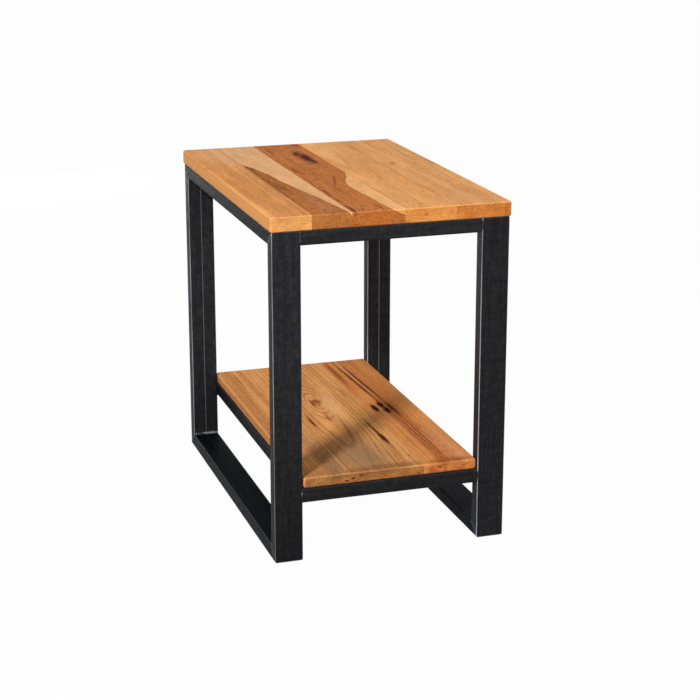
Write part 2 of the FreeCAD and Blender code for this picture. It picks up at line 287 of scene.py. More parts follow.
grain = {
    # patches of tone: across, along, how strong
    "figure": [(60, 260, 0.1), (24, 75, 0.08), (9, 15, 0.06), (11, 240, 0.04), (3.2, 60, 0.08)],
    "figureLevel": (0.25, 0.75),  # noise of the darkest and of the palest patch
    "drift": (90, 420, 7),  # slow wander of the rings: across, along, how far
    "waver": (12, 170, 0.9),  # the same at the scale of a few rings
    "uneven": (0.25, 2.4),  # how the rings' width varies: how often per ring, by how many rings
    "early": (0.04, 0.5),  # the part of a ring in which its porous early wood fades out
    "lineStart": 0.05,  # the part in which its line sets in
    "line": (0.12, 1.3),  # faintest and strongest line of a ring
    "endStripe": 0.28,  # how dark the lines are on the end grain
    "pore": (0.42, 8),  # width and length of one open pore
    "poreLevel": (0.72, 0.56),  # noise over which there is a pore, in late and in early wood
    "poreEdge": 0.06,  # noise further on at which it is full
    "poreDark": 0.5,
    # bundles of pores, drawn a little coarser than real ones so that they show: width, length, and strength
    # in sapwood, in heartwood and on the end
    "fleck": (1.5, 24, 0.08, 0.75, 0.9),
    "fleckLevel": (0.54, 0.68),
    "mark": {"z": 0, "depth": 13, "turn": 0, "lift": 0},  # z of its middle, half its depth, degrees, mm
    "markEdge": 1.15,  # where a mark ends, in half widths
    "liftEdge": 2.4,  # where the rings run straight again
    "fray": (2.2, 22, 0.9),  # how the edge of a mark runs out along the fibres
    "spare": 12,  # how far past a board its heart's edge may be drawn
    "heartFray": 1.6,
    "heartBlur": 0.9,
    "rim": (0.6, 5, 0.3),  # dark rim inside the heart's edge: from, to, how strong
    "bands": (26, 900, 0.38, 0.62),  # heartwood where no edge is drawn: across, along, noise from and to
    "heartShare": (0, 0.4),  # least and most of it there
    "arrisHighlight": 0.1,  # painted highlight on the rounded edges: how much paler they are
    "arrisFacing": (0.72, 0.95),
    "endFacing": (0.75, 0.98),
    "layer": (18, 1.5, 0.5, 0.68, 0.36),  # streaks of the end grain: width, height, noise from and to, share
    "rough": (0.7, 0.85),  # on the oil and in the pores
    "gloss": 0.004,
    "relief": (0.6, 0.03),
}
# these tints are the same on all boards
woodTints = {
    "line": "#9a6238", "rim": "#7c4a2a", "arrisHighlight": "#efc08c", "layer": "#a8683a", "fleck": "#b07e56",
    "pore": "#8a5630",
}


def fibres(add, place, across, along, detail):
    # noise drawn out along the fibres of a board
    stretched = add("VectorMath", "DIVIDE", [place, (across, along, across)])
    return add("TexNoise", {}, {"Vector": stretched, "Scale": 1, "Detail": detail})


def hickory(name, board, finish):
    # sanded hickory under a thin matt oil: cream sapwood, red-brown heartwood, dashes of open pores that
    # follow the growth rings, end grain deeper and more orange, and a painted highlight on the rounded edges
    low, high = (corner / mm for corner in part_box(name))
    width, length = high.x - low.x, high.y - low.y
    tints = {part: srgb(tint) for part, tint in woodTints.items()}
    material, add = newMaterial(finish + name[-2:])
    surface = add("TexCoord").outputs
    place = add("Mapping", {}, {
        "Vector": surface["Object"], "Location": (0, -low.y, -high.z), "Scale": (1 / mm,) * 3})
    seeded = add("VectorMath", "ADD", [place, (0, board["seed"] * 1000, 0)])

    # slow and quick wander of the grain
    wandering = place
    for across, along, reach in (grain["drift"], grain["waver"]):
        noise = fibres(add, seeded, across, along, 1)
        centred = add("VectorMath", "SUBTRACT", [noise.outputs[1], (0.5, 0.5, 0.5)])
        sway = (2 * reach, 0, 2 * reach)
        wandering = add("VectorMath", "MULTIPLY_ADD", [centred, sway, wandering])
    wavered = add("VectorMath", "MULTIPLY_ADD", [centred, sway, place])

    # distance from the pith, the middle of the tree
    leanX, leanZ = (math.radians(angle) for angle in board["lean"])
    pithX, pithZ = board["pith"]
    fromPith = add("Mapping", {"vector_type": "TEXTURE"}, {
        "Vector": wandering, "Location": (pithX, 0, pithZ), "Rotation": (leanZ, 0, leanX)})
    section = add("VectorMath", "MULTIPLY", [fromPith, (1, 0, 1)])
    radius = add("VectorMath", "LENGTH", [section])

    # knots and streaks
    across, along, reach = grain["fray"]
    fray = add("Math", "MULTIPLY_ADD", [fibres(add, seeded, across, along, 2), reach, -reach / 2])
    shades = []
    for x, y, halfX, halfY, strength, tint, soft, *rest in board["marks"]:
        mark = {**grain["mark"], **dict(*rest)}
        local = add("Mapping", {"vector_type": "TEXTURE"}, {
            "Vector": wavered, "Location": (x, y, mark["z"]), "Scale": (halfX, halfY, mark["depth"]),
            "Rotation": (0, 0, math.radians(mark["turn"]))})
        away = add("VectorMath", "LENGTH", [local])
        if mark["lift"]:
            swell = add("MapRange", smooth, [away, 0, grain["liftEdge"], 1, 0])
            radius = add("Math", "MULTIPLY_ADD", [swell, mark["lift"], radius])
        if strength:
            frayed = add("Math", "ADD", [away, fray])
            shade = add("MapRange", smooth, [frayed, 1 - soft, grain["markEdge"], strength, 0])
            shades.append((shade, srgb(tint)))

    # growth rings: each one starts with a porous dark line that fades out
    rings = add("Math", "DIVIDE", [radius, board["ring"]])
    often, reach = grain["uneven"]
    uneven = add("TexNoise", {"noise_dimensions": "1D"}, {"W": rings, "Scale": often, "Detail": 1})
    rings = add("Math", "MULTIPLY_ADD", [uneven, reach, rings])
    inRing = add("Math", "FRACT", [rings])
    ringNumber = add("Math", "FLOOR", [rings])
    ringTone = add("TexWhiteNoise", {"noise_dimensions": "1D"}, [ringNumber])
    early = add("MapRange", smooth, [inRing, *grain["early"], 1, 0])
    start = add("MapRange", {}, [inRing, 0, grain["lineStart"]])
    early = add("Math", "MULTIPLY", [early, start])
    lineTone = add("MapRange", {}, [ringTone, 0, 1, *grain["line"]])
    line = add("Math", "MULTIPLY", [early, lineTone])

    # heartwood: up to an edge drawn along the board, or in slow bands
    if "heartEdge" in board:
        least, reach = low.x - grain["spare"], width + 2 * grain["spare"]
        edgePoints = [(y / length, (x - least) / reach) for y, x in board["heartEdge"]]
        across, along, depth = add("SeparateXYZ", {}, [place]).outputs
        share = add("Math", "DIVIDE", [along, length])
        drawn = add("FloatCurve", {"curve": edgePoints}, {"Value": share})
        edge = add("Math", "MULTIPLY_ADD", [drawn, reach, least])
        edge = add("Math", "MULTIPLY_ADD", [fray, grain["heartFray"], edge])
        inside = add("Math", "SUBTRACT", [edge, across])
        inside = add("Math", "MULTIPLY_ADD", [depth, board["slope"], inside])
        heart = add("MapRange", smooth, [inside, -grain["heartBlur"], grain["heartBlur"]])
        rim = add("MapRange", smooth, [inside, *grain["rim"], 0])
        rim = add("Math", "MULTIPLY", [rim, heart])
        shades.append((rim, tints["rim"]))
    else:
        across, along, least, most = grain["bands"]
        noise = fibres(add, seeded, across, along, 2)
        heart = add("MapRange", smooth, [noise, least, most, *board.get("heartShare", grain["heartShare"])])

    # pores: fine dashes, most of them in the early wood
    noise = fibres(add, seeded, *grain["pore"], 0)
    crowd = add("MapRange", {}, [early, 0, 1, *grain["poreLevel"]])
    beyond = add("Math", "SUBTRACT", [noise, crowd])
    pores = add("MapRange", {}, [beyond, 0, grain["poreEdge"]])

    # colour
    colour = add("Mix", blending, [heart, srgb(board["sap"]), srgb(board["heart"])])
    for across, along, strength in grain["figure"]:
        noise = fibres(add, seeded, across, along, 2)
        tone = add("MapRange", {}, [noise, *grain["figureLevel"], 1 - strength, 1 + strength])
        colour = add("Mix", darkening, [1, colour, tone])
    across, along, up = add("SeparateXYZ", {}, [surface["Normal"]]).outputs
    endward = add("Math", "ABSOLUTE", [along])
    largest = add("Math", "MAXIMUM", [endward, up])
    sideward = add("Math", "ABSOLUTE", [across])
    largest = add("Math", "MAXIMUM", [largest, sideward])
    # painted highlight along the rounded edges
    highlightStrength = board.get("arrisHighlight", grain["arrisHighlight"])
    arrisHighlight = add("MapRange", smooth, [largest, *grain["arrisFacing"], highlightStrength, 0])
    endGrain = add("MapRange", smooth, [endward, *grain["endFacing"]])
    stripe = add("MapRange", {}, [endGrain, 0, 1, board["stripe"], grain["endStripe"]])
    ringDark = add("Math", "MULTIPLY", [line, stripe])

    # the end cuts the rings at a flat slant, so that they show there as long thin streaks
    across, high, least, most, strength = grain["layer"]
    laid = add("VectorMath", "MULTIPLY_ADD", [wandering, (1 / across, 0, 1 / high), (0, board["seed"], 0)])
    layer = add("TexNoise", {}, {"Vector": laid, "Scale": 1, "Detail": 2})
    layer = add("MapRange", {}, [layer, least, most, 0, strength])
    layer = add("Math", "MULTIPLY", [layer, endGrain])
    across, along, inSap, inHeart, onEnd = grain["fleck"]
    fleck = fibres(add, seeded, across, along, 1)
    strength = add("MapRange", {}, [heart, 0, 1, inSap, inHeart])
    softer = add("MapRange", {}, [endGrain, 0, 1, 1, onEnd])
    strength = add("Math", "MULTIPLY", [strength, softer])
    fleck = add("MapRange", {}, [fleck, *grain["fleckLevel"], 0, strength])
    poreDark = add("Math", "MULTIPLY", [pores, grain["poreDark"]])
    for way, share, tint in (
        (darkening, ringDark, tints["line"]), *((blending, *shade) for shade in shades),
        (darkening, endGrain, srgb(board["end"])), (blending, arrisHighlight, tints["arrisHighlight"]),
        (darkening, layer, tints["layer"]), (darkening, fleck, tints["fleck"]),
        (darkening, poreDark, tints["pore"]),
    ):
        colour = add("Mix", way, [share, colour, tint])

    # finish
    rough = add("MapRange", {}, [pores, 0, 1, *grain["rough"]])
    height = add("Math", "SUBTRACT", [noise, pores])
    finished(add, colour, rough, grain["gloss"], grain["relief"], height)
    nodes[name].material_slots[0].material = material


for name, board in boards.items():
    hickory(name, board, "oiledHickoryTop" if "top" in name else "oiledHickoryShelf")
print("hickory boards:", len(boards))

# Steel tube, all of it under the same coat
legLow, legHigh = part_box("right_back_leg")
tube = {
    "loopMiddle": (legLow.x + legHigh.x) / 2 / mm,  # from the middle of the table to the seam
    "loopWall": 25.4,
    "seam": (0.2, 0.95),  # half width of the mill seam, sharp and faded
    "mitre": (0.4, 3),  # the same of the ground weld on a mitre
    "mitreJag": (0.45, 3.2),  # how often and how far its edge runs out
    "mitrePatch": (0.4, 0.62, 0.15, 1),  # noise from and to, how much of the mitre shows there
    "mitreOut": (0.5, 0.8, 0.06),  # it shows on the left and right faces, and less than this on others
    "corner": (0.77, 0.89),  # largest part of the normal: on the round of a corner, on a face
    "rubAndGlint": (0.3, 0.65, 0.45),  # wear and painted highlight in streaks along the corners: noise from and to, least of it
    "leftLampHighlight": (-0.5, 0.3, 1, 0.25),  # painted highlight, strongest on corners that face the lamps on the left: the normal's x from and to, and its share there
    "lyingFacing": (0.15, 0.4),  # the normal's z on tubes that stand and on those that lie
    "tip": (2, 9),  # painted highlight at the top of a corner, and where it ends
    "nickGlint": (1, 7, 0.9),  # a chip in the coat painted as a bright glint: where it is full, where that ends, how bright
    "tones": (0.12, 0.4),  # noise of the deep and of the pale tone
    "paintedShadeHeights": (50, 350),  # painted shade: the coat is darker up to the first height, full from the second
    "flank": (0.8, 0.95),  # the normal's x off and on the left and right faces
    "sideRise": 20,
    "mottle": 11,  # soft patches
    "peel": 1.1,  # dry grain of the coat
    "speck": (0.3, 0.72, 0.45, 1.7),  # its noise from and to, darkest and palest grain
    "rough": (0.3, 0.7, 0.42, 0.56),
    "proud": 3,  # how much higher seam and mitre are than the grain
    "relief": (0.7, 0.05),
}


def blackSteel(name, coat):
    # hot-rolled steel tube under a satin black powder coat: nearly black, a fine dry grain, soft streaks
    # along the tube, corners rubbed brighter and painted with highlights, and painted shade towards the floor
    frontY, topZ = legHigh.y / mm, legHigh.z / mm
    material, add = newMaterial(name)
    surface = add("TexCoord").outputs
    place = add("VectorMath", "SCALE", {"Vector": surface["Object"], "Scale": 1 / mm})
    across, along, up = add("SeparateXYZ", {}, [place]).outputs

    # the mill seam runs down the middle of the faces that look into a loop
    outX, outY = (add("Math", "ABSOLUTE", [part]) for part in (across, along))
    offSeam = add("Math", "ABSOLUTE", [add("Math", "SUBTRACT", [outX, tube["loopMiddle"]])])
    seam = add("MapRange", smooth, [offSeam, *tube["seam"], 1, 0])
    fromTop = add("Math", "SUBTRACT", [topZ, up])
    nearLevel = add("Math", "MINIMUM", [up, fromTop])
    fromEnd = add("Math", "SUBTRACT", [frontY, outY])
    inward = add("Math", "MINIMUM", [nearLevel, fromEnd])
    within = add("Math", "GREATER_THAN", [inward, tube["loopWall"] - 0.3])
    seam = add("Math", "MULTIPLY", [seam, within])

    # the ground weld on the mitres
    often, reach = tube["mitreJag"]
    offMitre = add("Math", "ABSOLUTE", [add("Math", "SUBTRACT", [nearLevel, fromEnd])])
    jag = add("TexNoise", {}, {"Vector": place, "Scale": often, "Detail": 1})
    jagged = add("Math", "MULTIPLY_ADD", [jag, reach, -reach / 2])
    offMitre = add("Math", "ADD", [offMitre, jagged])
    mitre = add("MapRange", smooth, [offMitre, *tube["mitre"], 1, 0])
    atCorner = add("Math", "LESS_THAN", [nearLevel, tube["loopWall"] + 0.1])
    mitre = add("Math", "MULTIPLY", [mitre, atCorner])

    # rounded corners of the tube: the normal there looks along no axis
    level = add("VectorMath", "ABSOLUTE", [surface["Normal"]])
    faceX, faceY, faceZ = add("SeparateXYZ", {}, [level]).outputs
    largest = add("Math", "MAXIMUM", [add("Math", "MAXIMUM", [faceX, faceY]), faceZ])
    corner = add("MapRange", smooth, [largest, *tube["corner"], 1, 0])

    # the coat's grain, and streaks along the tube
    drawn = add("VectorMath", "DIVIDE", [place, coat["stretch"]])
    streak = add("TexNoise", {}, {"Vector": drawn, "Scale": 1, "Detail": 3})
    mottle = add("TexNoise", {}, {"Vector": place, "Scale": 1 / tube["mottle"], "Detail": 4})
    peel = add("TexNoise", {}, {"Vector": place, "Scale": 1 / tube["peel"], "Detail": 2})

    # wear and painted highlight: in streaks along the corners, most on corners that face the lamps on the
    # left, least on tubes that lie, stronger higher up, and a painted highlight at the top
    rubAndGlint = add("MapRange", {}, [streak, *tube["rubAndGlint"]])
    signed = add("SeparateXYZ", {}, [surface["Normal"]])
    leftLampHighlight = add("MapRange", {}, [signed.outputs["X"], *tube["leftLampHighlight"]])
    standing = add("MapRange", {}, [faceZ, *tube["lyingFacing"], 1, coat["lying"]])
    highlightByHeight = add("MapRange", {}, [up, 0, topZ, coat["lowRubHighlight"], coat["rubHighlight"]])
    wearAndHighlight = corner
    for share in (rubAndGlint, leftLampHighlight, standing, highlightByHeight):
        wearAndHighlight = add("Math", "MULTIPLY", [wearAndHighlight, share])
    # painted highlight at the top of each corner
    tip = add("Math", "MULTIPLY", [add("MapRange", {}, [fromTop, *tube["tip"], 1, 0]), corner])
    tip = add("Math", "MULTIPLY", [tip, coat["tip"]])
    # a chip in the coat on the right front leg beside the shelf rail, painted as a bright glint
    if "nickGlint" in coat:
        offNickGlint = add("Math", "ABSOLUTE", [add("Math", "SUBTRACT", [up, coat["nickGlint"]])])
        nickGlint = add("MapRange", {}, [offNickGlint, *tube["nickGlint"], 0])
        nickGlint = add("Math", "MULTIPLY", [nickGlint, corner])
        tip = add("Math", "MAXIMUM", [tip, nickGlint])
    wearAndHighlight = add("Math", "MAXIMUM", [wearAndHighlight, tip])

    # colour
    bareAndHighlight = srgb(coat["bareAndHighlight"])
    blend = add("MapRange", {}, [add("Math", "MULTIPLY", [mottle, streak]), *tube["tones"]])
    shade = add("Mix", blending, [blend, srgb(coat["deep"]), srgb(coat["pale"])])
    # painted shade: the coat darker towards the floor, by each coat's low and high
    paintedHeightShade = add("MapRange", {}, [up, *tube["paintedShadeHeights"], coat["low"], coat["high"]])
    shade = add("Mix", darkening, [1, shade, paintedHeightShade])
    # painted tone on the left and right faces above sideFrom: a reflection of the wooden shelf on the right
    # front leg, shade on the side rails and runners
    if "side" in coat:
        flank = add("MapRange", {}, [faceX, *tube["flank"]])
        above = add("MapRange", {}, [up, coat["sideFrom"], coat["sideFrom"] + tube["sideRise"]])
        flank = add("Math", "MULTIPLY", [flank, above])
        shade = add("Mix", blending, [flank, shade, srgb(coat["side"])])
    speck = add("MapRange", {}, [peel, *tube["speck"]])
    shade = add("Mix", blending, [wearAndHighlight, add("Mix", darkening, [1, shade, speck]), bareAndHighlight])
    # seam and mitre are real marks, drawn in the pale steel colour as painted highlights
    seam = add("Math", "MULTIPLY", [seam, coat["seam"]])
    outward = add("MapRange", {}, [faceX, *tube["mitreOut"], coat["mitre"]])
    patch = add("MapRange", {}, [jag, *tube["mitrePatch"]])
    for share in (outward, patch):
        mitre = add("Math", "MULTIPLY", [mitre, share])
    marked = add("Math", "MAXIMUM", [seam, mitre])
    shade = add("Mix", blending, [marked, shade, bareAndHighlight])

    rough = add("MapRange", {}, [mottle, *tube["rough"]])
    height = add("Math", "MULTIPLY_ADD", [marked, tube["proud"], peel])
    finished(add, shade, rough, coat["gloss"], tube["relief"], height)
    return material


# deep, pale: the coat's two tones. The third colour is bare steel where the coat is rubbed off, and it also
# paints the
# highlights. side: painted tone of the left and right faces above sideFrom. low, high: painted shade, how
# light the coat is near the floor and above. The two rub values and tip: how much wear and painted highlight
# the corners have from the
# floor up. lying: how much of that shows on a tube that lies. seam, mitre: how strongly they take the pale
# colour.
legCoat = {
    "stretch": (2.4, 2.4, 90), "deep": "#18181a", "pale": "#262627", "bareAndHighlight": "#c0c5d4", "low": 0.63,
    "high": 1.14, "rubHighlight": 0.52, "lowRubHighlight": 0.28, "tip": 0.8, "lying": 0.06, "seam": 0.2, "mitre": 0.36,
    "gloss": 0.03,
}
# painted shade: the side rails and runners, under the top and the shelf, in a nearly black copy of the coat
shadedRailCoat = {
    "stretch": (2.4, 90, 2.4), "deep": "#050609", "pale": "#0e1017", "bareAndHighlight": "#c0c5d4", "low": 1, "high": 1,
    "rubHighlight": 0.05, "lowRubHighlight": 0.3, "tip": 0, "lying": 0.3, "seam": 0.015, "mitre": 0.35, "gloss": 0.012,
    "side": "#16171b", "sideFrom": -30,
}
crossRailCoat = {
    **legCoat, "stretch": (90, 2.4, 2.4), "low": 0.8, "high": 1.1, "rubHighlight": 0.6, "lowRubHighlight": 0.3, "tip": 0,
    "seam": 0, "mitre": 0,
}
# each leg and each group of rails has its own copy of the coat, lighter or darker as painted light and shade:
# the back legs lighter, the right back leg's corners a near-white painted reflection, the side rails and
# runners nearly black
coats = {
    "powderCoatLeftFront": (legCoat, ["left_front_leg"]),
    "powderCoatRightFront": (
        {**legCoat, "low": 0.93, "high": 0.9, "lowRubHighlight": 0.8, "side": "#2b2425", "sideFrom": 125, "nickGlint": 138},
        ["right_front_leg"]),
    "powderCoatLeftBack": (
        {**legCoat, "low": 1.0, "high": 1.35, "rubHighlight": 0.62, "lowRubHighlight": 0.5}, ["left_back_leg"]),
    "powderCoatRightBack": (
        {**legCoat, "low": 1.3, "high": 1.5, "rubHighlight": 1.4, "lowRubHighlight": 1.1, "bareAndHighlight": "#e6eaf4", "seam": 0.26},
        ["right_back_leg"]),
    "powderCoatDeep": (shadedRailCoat, [
        "left_top_rail", "right_top_rail", "left_runner", "shelf_left_rail", "shelf_right_rail"]),
    "powderCoatRightRunner": (
        {**shadedRailCoat, "deep": "#0e0d13", "pale": "#201f27", "lying": 0.06, "side": "#0c0d11"},
        ["right_runner"]),
    "powderCoatCross": (crossRailCoat, [
        "front_top_rail", "back_top_rail", "shelf_front_rail", "shelf_back_rail"]),
}
for name, (coat, tubes) in coats.items():
    material = blackSteel(name, coat)
    for node in tubes:
        nodes[node].material_slots[0].material = material
print("steel tubes:", sum(len(tubes) for coat, tubes in coats.values()))

# Weld beads. A bead fills the corner between two faces: root is the line of the corner, and toe gives the two
# directions, each as far as the bead reaches on its face.
bead = {
    "leg": 4.5,  # reach along each face in the square corners
    "crown": 0.7,  # bulge over the straight line between the toes
    "grooveReach": 3.2,  # the same in the groove beside a leg, where the bead is dressed nearly flush
    "grooveFill": 2.8,
    "grooveCrown": 0.35,
    "endRoom": 2,  # from a bead's end to the edge of its face
    "tubeRound": 4,  # corner radius of the tubes
    "ripple": 3.4,  # from one ripple to the next
    "rippleHeight": 0.34,
    "rippleBow": 0.7,  # how far a ripple's middle runs ahead of its ends, in ripples
    "wobble": 0.45,  # how unevenly the hand laid it
    "wobbleRun": 6,
    "wobbleShift": 1.6,  # how far that moves the ripples along
    "endShrink": 0.9,  # how much of its section a bead loses at its ends
    "glint": 3,  # how narrow the painted glint on a ripple's crest is
    "step": 0.34,  # length of one mesh ring
    "sides": 14,
    "seed": 5,
    "grit": 2.6,
    "patch": (11, 0.42, 0.62, 0.5, 1.25),  # patches of bare steel and painted glint: size, noise from and to, least and most of it
    "bareOver": 0.2,  # how far past the least height the bare steel and glint are full
    "rough": (0.3, 0.46),
    "gloss": 0.3,
    "relief": (0.5, 0.06),
}


def newTree(name, sockets):
    # a geometry tree with a mesh input, the given inputs with their first values, and a mesh output
    tree = bpy.data.node_groups.new(name, "GeometryNodeTree")
    newSocket = tree.interface.new_socket
    for way in ("INPUT", "OUTPUT"):
        newSocket(name="Geometry", in_out=way, socket_type="NodeSocketGeometry")
    kinds = {int: "Int", float: "Float", bpy.types.Material: "Material"}
    for label, value in sockets.items():
        kind = kinds[type(value)]
        socket = newSocket(name=label, in_out="INPUT", socket_type="NodeSocket" + kind)
        if kind != "Material":
            socket.default_value = value
    add = adder(tree)
    return tree, add("NodeGroupInput").outputs, add


def endTree(add, skin, material):
    # the tree gives one plain mesh in its material
    skin = add("RealizeInstances", {}, [skin])
    skin = add("SetMaterial", {}, {"Geometry": skin, "Material": material})
    add("NodeGroupOutput", {}, {"Geometry": skin})


def placed(name, data):
    # a new object in the scene
    thing = bpy.data.objects.new(name, data)
    scene.collection.objects.link(thing)
    return thing


def grown(name, source, tree, values, replaced):
    # runs a tree on a source mesh and keeps the result as one plain closed mesh
    piece = placed(name, source)
    modifier = piece.modifiers.new("grow", "NODES")
    modifier.node_group = tree
    for item in tree.interface.items_tree:
        if item.in_out == "INPUT" and item.name in values:
            modifier[item.identifier] = values[item.name]
    evaluated = piece.evaluated_get(bpy.context.evaluated_depsgraph_get())
    mesh = bpy.data.meshes.new_from_object(evaluated)
    piece.modifiers.remove(modifier)
    piece.data = mesh
    mesh.materials.clear()
    mesh.materials.append(values["material"])
    skin = bmesh.new()
    skin.from_mesh(mesh)
    bmesh.ops.remove_doubles(skin, verts=skin.verts, dist=0.002 * mm)
    bmesh.ops.recalc_face_normals(skin, faces=skin.faces)
    for face in skin.faces:
        face.material_index = 0
    skin.to_mesh(mesh)
    skin.free()
    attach(piece, "root")
    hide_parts(*replaced)


def beadLines(lines):
    # a mesh of one edge for each bead, with its toes and its bulge as attributes of both ends
    mesh = bpy.data.meshes.new("beadLines")
    points = [end for line in lines for end in line["ends"]]
    mesh.from_pydata(points, [(2 * index, 2 * index + 1) for index in range(len(lines))], [])
    for label in ("toeA", "toeB", "bulge"):
        layer = mesh.attributes.new(label, "FLOAT_VECTOR", "POINT")
        for index, line in enumerate(lines):
            for end in (2 * index, 2 * index + 1):
                layer.data[end].vector = line[label]
    return mesh


def weldTree(material):
    tree, given, add = newTree("weldBead", {
        "step": bead["step"] * mm, "sides": bead["sides"], "ripple": bead["ripple"] * mm,
        "rippleHeight": bead["rippleHeight"] * mm, "bow": bead["rippleBow"], "wobble": bead["wobble"],
        "endTaper": bead["leg"] * mm, "seed": float(bead["seed"]), "material": material})
    curve = add("MeshToCurve", {}, [given["Geometry"]])
    curve = add("ResampleCurve", {"mode": "LENGTH"}, {"Curve": curve, "Length": given["step"]})
    along = add("SplineParameter")
    whole = add("SplineLength")
    here = add("InputPosition")
    for label, kind, value in (
        ("root", "FLOAT_VECTOR", here), ("run", "FLOAT", along.outputs["Length"]), ("whole", "FLOAT", whole),
    ):
        curve = add("StoreNamedAttribute", {"data_type": kind}, {
            "Geometry": curve, "Name": label, "Value": value})
    ring = add("CurvePrimitiveCircle", {"mode": "RADIUS"}, {
        "Resolution": given["sides"], "Radius": mm})
    number = add("InputIndex")
    ring = add("StoreNamedAttribute", {"data_type": "FLOAT"}, {
        "Geometry": ring, "Name": "turn", "Value": number})
    skin = add("CurveToMesh", {}, {"Curve": curve, "Profile Curve": ring, "Fill Caps": True})
    stored = {}
    for kind, labels in (("FLOAT", "turn run whole"), ("FLOAT_VECTOR", "root toeA toeB bulge")):
        for label in labels.split():
            stored[label] = add("InputNamedAttribute", {"data_type": kind}, {"Name": label})

    # share of the way over the bead, from toe to toe; the ring's first point stays in the corner
    last = add("Math", "SUBTRACT", [given["sides"], 2.0])
    over = add("Math", "DIVIDE", [add("Math", "SUBTRACT", [stored["turn"], 1.0]), last])
    rest = add("Math", "SUBTRACT", [1.0, over])
    arch = add("Math", "MULTIPLY", [add("Math", "MULTIPLY", [over, rest]), 4.0])
    onFace = add("Math", "GREATER_THAN", [stored["turn"], 0.5])

    # ripples: rounded steps whose middles run ahead
    shift = add("CombineXYZ", {}, [given["seed"]])
    place = add("VectorMath", "ADD", [stored["root"], shift])
    uneven = add("TexNoise", {}, {"Vector": place, "Scale": 1 / (bead["wobbleRun"] * mm), "Detail": 1.0})
    uneven = add("Math", "SUBTRACT", [uneven, 0.5])
    uneven = add("Math", "MULTIPLY", [uneven, given["wobble"]])
    phase = add("Math", "DIVIDE", [stored["run"], given["ripple"]])
    phase = add("Math", "MULTIPLY_ADD", [uneven, bead["wobbleShift"], phase])
    phase = add("Math", "MULTIPLY_ADD", [arch, given["bow"], phase])
    phase = add("Math", "MULTIPLY", [phase, math.pi])
    step = add("Math", "ABSOLUTE", [add("Math", "SINE", [phase])])
    edge = add("Math", "SQRT", [add("Math", "MAXIMUM", [arch, 0.0])])
    lift = add("Math", "MULTIPLY", [step, edge])
    lift = add("Math", "MULTIPLY", [lift, given["rippleHeight"]])

    # ends: the section shrinks along a quarter circle
    beyond = add("Math", "SUBTRACT", [stored["whole"], stored["run"]])
    near = add("Math", "MINIMUM", [stored["run"], beyond])
    near = add("Math", "DIVIDE", [near, given["endTaper"]])
    near = add("Math", "MINIMUM", [near, 1.0])
    short = add("Math", "POWER", [add("Math", "SUBTRACT", [1.0, near]), 2.0])
    size = add("Math", "SQRT", [add("Math", "MULTIPLY_ADD", [short, -bead["endShrink"], 1.0])])
    wider = add("Math", "ADD", [uneven, 1.0])
    for share in (wider, onFace):
        size = add("Math", "MULTIPLY", [size, share])

    toes = add("Mix", {"data_type": "VECTOR"}, {"Factor": over, "A": stored["toeA"], "B": stored["toeB"]})
    out = add("VectorMath", "NORMALIZE", [stored["bulge"]])
    reach = toes
    for way, share in ((stored["bulge"], arch), (out, lift)):
        rise = add("VectorMath", "SCALE", {"Vector": way, "Scale": share})
        reach = add("VectorMath", "ADD", [reach, rise])
    reach = add("VectorMath", "SCALE", {"Vector": reach, "Scale": size})
    placed = add("VectorMath", "ADD", [stored["root"], reach])
    sharp = add("Math", "MULTIPLY", [add("Math", "POWER", [step, bead["glint"]]), edge])
    skin = add("StoreNamedAttribute", {"data_type": "FLOAT"}, {
        "Geometry": skin, "Name": "crest", "Value": sharp})
    skin = add("SetPosition", {}, {"Geometry": skin, "Position": placed})
    skin = add("SetShadeSmooth", {}, {"Geometry": skin})
    endTree(add, skin, given["material"])
    return tree


def cornerBead(corner, along, length, faceA, faceB):
    # a bead in the square corner of two faces, which point away from it
    outward = (faceA + faceB).normalized()
    half = along * length / 2
    return {
        "ends": (corner - half, corner + half), "toeA": faceA * bead["leg"] * mm,
        "toeB": faceB * bead["leg"] * mm, "bulge": outward * bead["crown"] * mm,
    }


def weldMaterial(name, deep, bareAndHighlight, least):
    # the same satin black coat, run thicker over the bead, with pale blue-grey on the ripples' crests from
    # the height least up: bare steel and painted glints
    material, add = newMaterial(name)
    place = add("TexCoord").outputs["Object"]
    run, *levels = bead["patch"]
    grit, patch = (
        add("TexNoise", {}, {"Vector": place, "Scale": 1 / (size * mm), "Detail": detail})
        for size, detail in ((bead["grit"], 2), (run, 1)))
    crest = add("Attribute", {"attribute_name": "crest"})
    patch = add("MapRange", {}, [patch, *levels])
    rubAndGlint = add("Math", "MULTIPLY", [crest.outputs["Fac"], grit])
    rubAndGlint = add("Math", "MULTIPLY", [rubAndGlint, patch])
    rubAndGlint = add("MapRange", {}, [rubAndGlint, least, least + bead["bareOver"]])
    shade = add("Mix", blending, [rubAndGlint, srgb(deep), srgb(bareAndHighlight)])
    rough = add("MapRange", {}, [grit, 0, 1, *bead["rough"]])
    finished(add, shade, rough, bead["gloss"], bead["relief"], grit)
    return material


